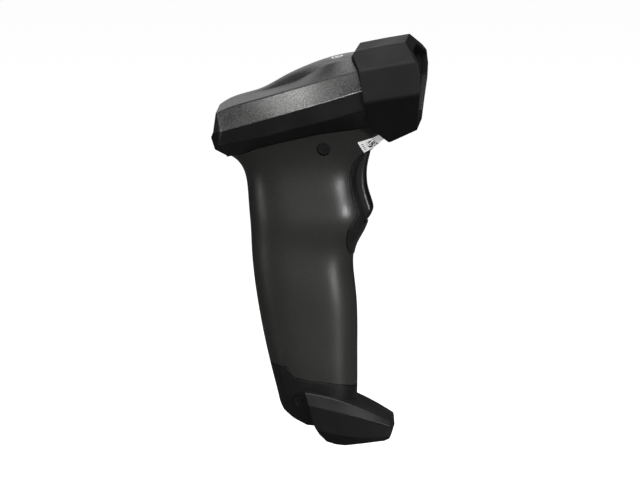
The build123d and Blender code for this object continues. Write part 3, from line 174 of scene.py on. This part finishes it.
class Finish:
    """A principled material and the procedural nodes that vary it."""

    def __init__(self, name, colour, roughness, metallic=0.0, specular=0.5):
        self.material = bpy.data.materials.new(name)
        self.material.use_nodes = True
        self.tree = self.material.node_tree
        self.shader = self.tree.nodes["Principled BSDF"]
        self.set("Base Color", (*colour, 1))
        self.set("Roughness", roughness)
        self.set("Metallic", metallic)
        self.set("Specular IOR Level", specular)
        self.colour = colour
        self.roughness = roughness
        self.place = self.tree.nodes.new("ShaderNodeTexCoord").outputs["Object"]
        self.normal = None

    def set(self, name, value):
        """Sets one input of the shader."""
        self.shader.inputs[name].default_value = value
        return self

    def link(self, output, name):
        """Drives one input of the shader."""
        self.tree.links.new(output, self.shader.inputs[name])
        return self

    def noise(self, feature, detail=3.0):
        """Smooth noise whose features are about that many metres across."""
        node = self.tree.nodes.new("ShaderNodeTexNoise")
        node.inputs["Scale"].default_value = 1 / feature
        node.inputs["Detail"].default_value = detail
        self.tree.links.new(self.place, node.inputs["Vector"])
        return node.outputs["Fac"]

    def remap(self, value, low, high, start=0.35, end=0.65):
        """Maps the band between two values of a pattern to a range, clamped outside it."""
        node = self.tree.nodes.new("ShaderNodeMapRange")
        node.inputs["From Min"].default_value = start
        node.inputs["From Max"].default_value = end
        node.inputs["To Min"].default_value = low
        node.inputs["To Max"].default_value = high
        self.tree.links.new(value, node.inputs["Value"])
        return node.outputs["Result"]

    def blend(self, factor, first, second):
        """A colour between a colour and another colour or output."""
        mix = self.tree.nodes.new("ShaderNodeMix")
        mix.data_type = "RGBA"
        mix.inputs["A"].default_value = (*first, 1)
        if isinstance(second, tuple):
            mix.inputs["B"].default_value = (*second, 1)
        else:
            self.tree.links.new(second, mix.inputs["B"])
        self.tree.links.new(factor, mix.inputs["Factor"])
        return mix.outputs["Result"]

    def mottle(self, feature, amount, detail=3.0):
        """Colour that drifts a little lighter and darker."""
        dark = tuple(c * (1 - amount) for c in self.colour)
        light = tuple(c * (1 + amount) for c in self.colour)
        return self.link(self.blend(self.remap(self.noise(feature, detail), 0, 1), dark, light),
                         "Base Color")

    def smudge(self, feature, amount):
        """Gloss that changes over the surface, as handling leaves it."""
        return self.link(self.remap(self.noise(feature), self.roughness - amount, self.roughness + amount),
                         "Roughness")

    def grain(self, feature, depth, detail=2.0):
        """A moulded texture with features of one size and depth, in metres."""
        bump = self.tree.nodes.new("ShaderNodeBump")
        bump.inputs["Strength"].default_value = 1.0
        bump.inputs["Distance"].default_value = depth
        self.tree.links.new(self.noise(feature, detail), bump.inputs["Height"])
        if self.normal:
            self.tree.links.new(self.normal, bump.inputs["Normal"])
        self.normal = bump.outputs["Normal"]
        return self.link(self.normal, "Normal")

    def calculate(self, operation, first, second=0.0):
        """One arithmetic step on outputs or plain numbers."""
        node = self.tree.nodes.new("ShaderNodeMath")
        node.operation = operation
        for socket, value in zip(node.inputs, (first, second)):
            if isinstance(value, (int, float)):
                socket.default_value = value
            else:
                self.tree.links.new(value, socket)
        return node.outputs["Value"]

    def distance_along(self, origin, direction):
        """How far the surface point lies from an origin along a direction, in metres."""
        node = self.tree.nodes.new("ShaderNodeVectorMath")
        node.operation = "DOT_PRODUCT"
        node.inputs[1].default_value = direction
        self.tree.links.new(self.place, node.inputs[0])
        return self.calculate("SUBTRACT", node.outputs["Value"], Vector(origin).dot(Vector(direction)))

    def between(self, value, low, high):
        """1 where a value lies between two numbers, 0 elsewhere."""
        above = self.calculate("GREATER_THAN", value, low)
        below = self.calculate("LESS_THAN", value, high)
        return self.calculate("MULTIPLY", above, below)

    def soften_edges(self, radius):
        """Shades sharp edges as if they were rounded by a small radius."""
        bevel = self.tree.nodes.new("ShaderNodeBevel")
        bevel.samples = 4
        bevel.inputs["Radius"].default_value = radius
        self.normal = bevel.outputs["Normal"]
        return self.link(self.normal, "Normal")


# ---------------------------------------------------------------- materials of the outside

RING_SIZE = (2.6 * MM, 3.8 * MM)
RING_BAND = (0.75, 1.0)     # the lit ring and the dot within it, as shares of the ring's radius
RING_DOT = 0.35
RING_GLOW = 0.1
RING_OFFSET = Vector((-0.5, -2.5, 0)) * MM      # from the middle of the lens
LABEL_CORNER = 2.6 * MM     # its lowest corner lies this far ahead of its rearmost one
LABEL_SLOPE = math.radians(24.4)
LABEL_CELL = 0.45 * MM      # side of one printed dot; columns and rows are counted in it
LABEL_BAR_COLUMNS = (1.5, 4.0)
LABEL_CODE_COLUMNS = (6.0, 16.0)
LABEL_ROWS = (1.5, 9.5)
LABEL_BLANKS = 0.45         # share of the code's cells left white
LABEL_PAINTED_GLOW = 0.35           # painted light: the label glows to stand for the paper's brightness in full studio light
LABEL_INK = (0.03, 0.03, 0.03)


def cover_paint():
    """Textured graphite paint with metal flakes, over the moulded top cover."""
    finish = Finish("cover_paint", (0.135, 0.135, 0.132), 0.29, metallic=0.8)
    flakes = finish.remap(finish.noise(0.45 * MM, 2.0), 0, 1, 0.38, 0.68)
    finish.link(finish.blend(flakes, (0.07, 0.07, 0.069), (0.2, 0.2, 0.197)), "Base Color")
    finish.smudge(18 * MM, 0.05)
    return finish.grain(0.4 * MM, 0.04 * MM)


def shell_black():
    """Fine-textured black plastic of the head base, the bottom cap and the foot."""
    finish = Finish("shell_black", (0.0095, 0.0095, 0.0095), 0.42, specular=0.28)
    finish.soften_edges(0.4 * MM)
    finish.smudge(14 * MM, 0.06)
    finish.mottle(9 * MM, 0.15)
    return finish.grain(0.35 * MM, 0.015 * MM)


def boot_rubber():
    """Matt black rubber, a little dusty and polished where it is handled."""
    finish = Finish("boot_rubber", (0.0065, 0.0065, 0.0065), 0.55, specular=0.22)
    finish.soften_edges(0.8 * MM)
    finish.smudge(20 * MM, 0.08)
    finish.mottle(12 * MM, 0.15)
    return finish.grain(0.3 * MM, 0.012 * MM)


def grip_plastic():
    """Warm dark grey plastic with a fine spark-eroded texture."""
    finish = Finish("grip_plastic", (0.028, 0.028, 0.0266), 0.33, specular=0.45)
    finish.soften_edges(0.3 * MM)
    finish.smudge(25 * MM, 0.05)
    finish.mottle(0.5 * MM, 0.12, 1.0)
    return finish.grain(0.4 * MM, 0.02 * MM)


def trigger_plastic():
    """Black plastic of the trigger and its surround, worn smoother by the finger."""
    finish = Finish("trigger_plastic", (0.012, 0.012, 0.0117), 0.34, specular=0.4)
    finish.soften_edges(0.4 * MM)
    finish.smudge(9 * MM, 0.08)
    finish.mottle(6 * MM, 0.15)
    return finish.grain(0.3 * MM, 0.01 * MM)


def smoked_lens():
    """Glossy smoked plastic with a lit ring and dot: a plain status light."""
    finish = Finish("smoked_lens", (0.012, 0.012, 0.013), 0.2, specular=0.4)
    finish.soften_edges(0.2 * MM)
    low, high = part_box("indicator_lens")
    centre = (low + high) / 2 + RING_OFFSET
    along = finish.calculate("DIVIDE", finish.distance_along(centre, (1, 0, 0)), RING_SIZE[0])
    across = finish.calculate("DIVIDE", finish.distance_along(centre, (0, 1, 0)), RING_SIZE[1])
    squares = [finish.calculate("MULTIPLY", value, value) for value in (along, across)]
    radius = finish.calculate("SQRT", finish.calculate("ADD", *squares))
    ring = finish.between(radius, *RING_BAND)
    lit = finish.calculate("MAXIMUM", ring, finish.calculate("LESS_THAN", radius, RING_DOT))
    finish.link(finish.blend(lit, finish.colour, (0.75, 0.75, 0.75)), "Base Color")
    finish.link(finish.calculate("MULTIPLY", lit, RING_GLOW), "Emission Strength")
    finish.set("Emission Color", (1, 1, 1, 1))
    return finish.smudge(6 * MM, 0.04)


def window_glass():
    """The scan window: clear, slightly red plastic that mirrors at a glancing angle."""
    finish = Finish("window_glass", (0.4, 0.1, 0.1), 0.03)
    tree = finish.tree
    clear = tree.nodes.new("ShaderNodeBsdfTransparent")
    clear.inputs["Color"].default_value = (0.62, 0.4, 0.4, 1)
    mirror = tree.nodes.new("ShaderNodeBsdfGlossy")
    tree.links.new(finish.remap(finish.noise(8 * MM), 0.01, 0.06), mirror.inputs["Roughness"])
    glancing = tree.nodes.new("ShaderNodeFresnel")
    glancing.inputs["IOR"].default_value = 1.49
    mix = tree.nodes.new("ShaderNodeMixShader")
    tree.links.new(glancing.outputs["Fac"], mix.inputs["Fac"])
    tree.links.new(clear.outputs["BSDF"], mix.inputs[1])
    tree.links.new(mirror.outputs["BSDF"], mix.inputs[2])
    tree.links.new(mix.outputs["Shader"], tree.nodes["Material Output"].inputs["Surface"])
    return finish


def label_white():
    """White label printed with a random dot pattern that encodes nothing, and plain bars; its printed
    colour also glows, painted light for the paper's brightness in full studio light.
    """
    finish = Finish("label_white", (0.85, 0.85, 0.85), 0.5)
    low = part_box("label")[0]
    right = (math.cos(LABEL_SLOPE), 0, math.sin(LABEL_SLOPE))
    up = (-math.sin(LABEL_SLOPE), 0, math.cos(LABEL_SLOPE))
    corner = (low.x + LABEL_CORNER, 0, low.z)
    column = finish.calculate("DIVIDE", finish.distance_along(corner, right), LABEL_CELL)
    row = finish.calculate("DIVIDE", finish.distance_along(corner, up), LABEL_CELL)
    cell = finish.tree.nodes.new("ShaderNodeCombineXYZ")
    for socket, value in zip(cell.inputs, (column, row)):
        finish.tree.links.new(finish.calculate("FLOOR", value), socket)
    chance = finish.tree.nodes.new("ShaderNodeTexWhiteNoise")
    finish.tree.links.new(cell.outputs["Vector"], chance.inputs["Vector"])
    dots = finish.calculate("GREATER_THAN", chance.outputs["Value"], LABEL_BLANKS)
    in_rows = finish.between(row, *LABEL_ROWS)
    code = finish.calculate("MULTIPLY", dots, finish.between(column, *LABEL_CODE_COLUMNS))
    stripes = finish.calculate("GREATER_THAN", finish.calculate("PINGPONG", row, 1.0), 0.6)
    bars = finish.calculate("MULTIPLY", stripes, finish.between(column, *LABEL_BAR_COLUMNS))
    ink = finish.calculate("MULTIPLY", finish.calculate("MAXIMUM", code, bars), in_rows)
    printed = finish.blend(ink, finish.colour, LABEL_INK)
    finish.link(printed, "Base Color")
    # painted light: the printed colour also glows, so the white paper looks fully lit and the ink stays
    # dark
    finish.link(printed, "Emission Color")
    finish.set("Emission Strength", LABEL_PAINTED_GLOW)
    finish.smudge(3 * MM, 0.1)
    return finish.grain(0.5 * MM, 0.01 * MM)


# ---------------------------------------------------------------- materials of the inside

CELL_WRAP_REACH = 32.4 * MM     # the wrap ends this far from the middle of the cell
CELL_BAND = (26 * MM, 29 * MM)  # a dark band between these distances above the middle
NICKEL = (0.6, 0.58, 0.55)


def plain(name, colour, roughness, metallic=0.0, feature=6 * MM, amount=0.12):
    """A material with a little drift in its colour and gloss."""
    finish = Finish(name, colour, roughness, metallic)
    finish.mottle(feature, amount)
    return finish.smudge(feature, roughness * 0.2).grain(0.5 * MM, 0.005 * MM)


def cell_wrap():
    """Blue shrink wrap with a dark band below the top, and bare nickel at both ends of the cell."""
    finish = Finish("cell_wrap", (0.05, 0.16, 0.4), 0.3)
    low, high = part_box("battery_cell")
    axis = next(joint["axis"] for joint in frame["record"]["behaviour"]["joints"]
                if joint["name"] == "battery_slide")
    up = tuple(-component for component in axis)
    along = finish.distance_along((low + high) / 2, up)
    wrapped = finish.between(along, -CELL_WRAP_REACH, CELL_WRAP_REACH)
    band = finish.between(along, *CELL_BAND)
    printed = finish.blend(band, finish.colour, (0.02, 0.03, 0.05))
    finish.link(finish.blend(wrapped, NICKEL, printed), "Base Color")
    finish.link(finish.calculate("SUBTRACT", 1.0, wrapped), "Metallic")
    return finish.smudge(8 * MM, 0.08).grain(0.6 * MM, 0.01 * MM)


FINISHES = {
    "cover_paint": cover_paint(),
    "shell_black": shell_black(),
    "boot_rubber": boot_rubber(),
    "grip_plastic": grip_plastic(),
    "trigger_plastic": trigger_plastic(),
    "smoked_lens": smoked_lens(),
    "window_glass": window_glass(),
    "label_white": label_white(),
    "foam": plain("foam", (0.02, 0.02, 0.02), 0.85),
    "steel": plain("steel", (0.55, 0.55, 0.56), 0.3, 1.0),
    "black_steel": plain("black_steel", (0.012, 0.012, 0.012), 0.3, 0.5),
    "gold": plain("gold", (0.75, 0.56, 0.25), 0.25, 1.0),
    "board_green": plain("board_green", (0.012, 0.09, 0.04), 0.35),
    "chip_black": plain("chip_black", (0.02, 0.02, 0.02), 0.5),
    "connector_cream": plain("connector_cream", (0.6, 0.56, 0.45), 0.5),
    "optic_clear": plain("optic_clear", (0.5, 0.52, 0.56), 0.08),
    "led_white": plain("led_white", (0.85, 0.82, 0.6), 0.4),
    "aluminium": plain("aluminium", (0.6, 0.6, 0.62), 0.4, 1.0),
    "cable_black": plain("cable_black", (0.02, 0.02, 0.02), 0.5),
    "ribbon_tan": plain("ribbon_tan", (0.45, 0.22, 0.06), 0.4),
    "cell_wrap": cell_wrap(),
}

for subpart in frame["record"]["subparts"]:
    node = NODES[subpart["node"]]
    node.data.materials.clear()
    node.data.materials.append(FINISHES[subpart["material_slot"]].material)
